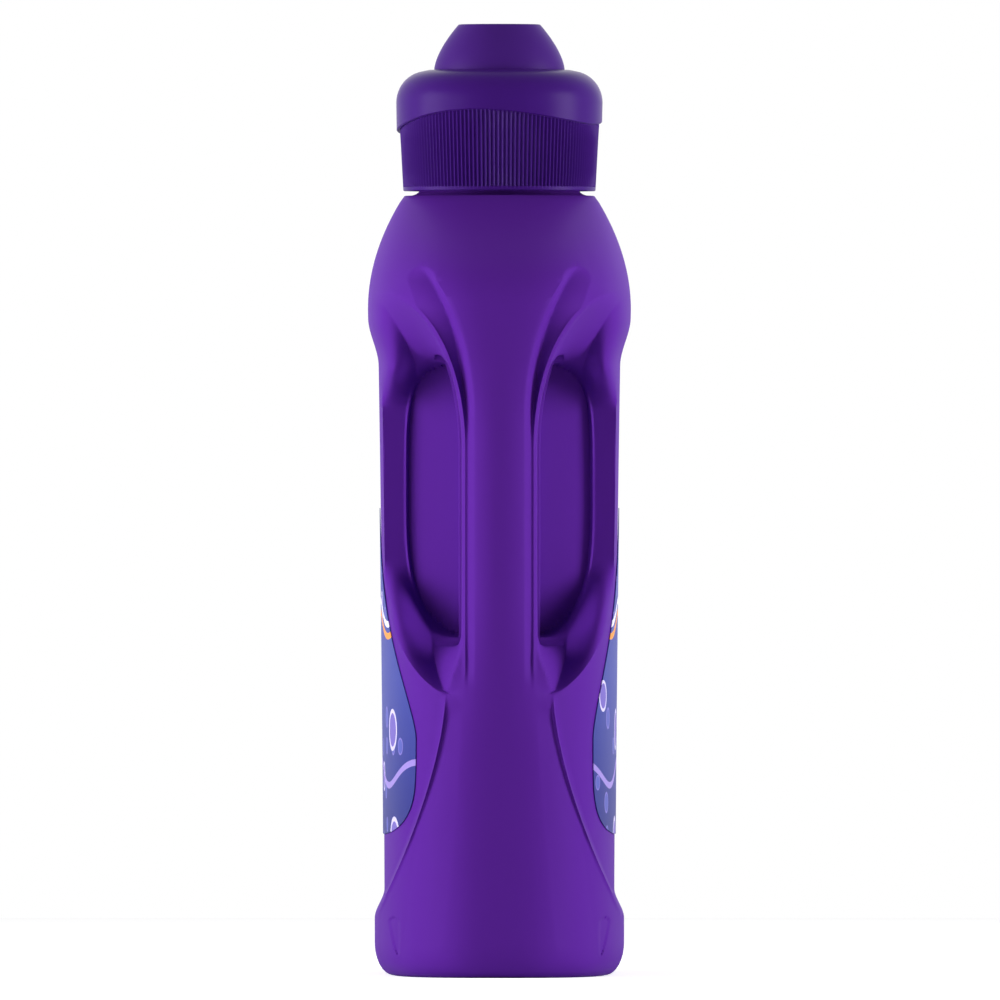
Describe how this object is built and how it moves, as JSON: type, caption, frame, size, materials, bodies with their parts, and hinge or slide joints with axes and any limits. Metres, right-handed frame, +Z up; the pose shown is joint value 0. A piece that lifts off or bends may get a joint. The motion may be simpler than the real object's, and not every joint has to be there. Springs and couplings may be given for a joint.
{
  "type": "fabric softener bottle",
  "caption": "Deep-shouldered plastic refill bottle with a side handle, leaf-shaped finger hole, ribbed screw closure with a domed dosing cup, and two drop-shaped labels.",
  "frame": {"origin": "centre of the base, on the surface that the bottle stands on; the neck axis is the Z axis", "axes": "+Z up along the neck axis, +X to the handle, -Y to the front label"},
  "size_m": [0.21, 0.0886, 0.32],
  "materials": {
    "bottle_plastic": "satin blow-moulded polyethylene",
    "pourer_plastic": "natural moulded polyethylene",
    "cup_plastic": "tinted translucent polypropylene",
    "cap_plastic": "glossy moulded polypropylene",
    "label_film": "printed glossy film"
  },
  "bodies": {
    "bottle": {"bottle": "bottle_plastic", "pour_spout": "pourer_plastic", "front_label": "label_film", "back_label": "label_film"},
    "dosing_cup": {"dosing_cup": "cup_plastic"},
    "cap_shell": {"cap_shell": "cap_plastic"}
  },
  "joints": [
    {"name": "cap_lift", "type": "slide", "parent": "bottle", "child": "dosing_cup", "axis": [0, 0, 1], "range_m": [0, 0.045]},
    {"name": "cap_turn", "type": "hinge", "parent": "dosing_cup", "child": "cap_shell", "pos_m": [0, 0, 0.264], "axis": [0, 0, 1], "range_deg": [0, 1350]}
  ],
  "couplings": [
    {"joint": "cap_lift", "follows": "cap_turn", "m_per_rad": 0.0019099}
  ]
}
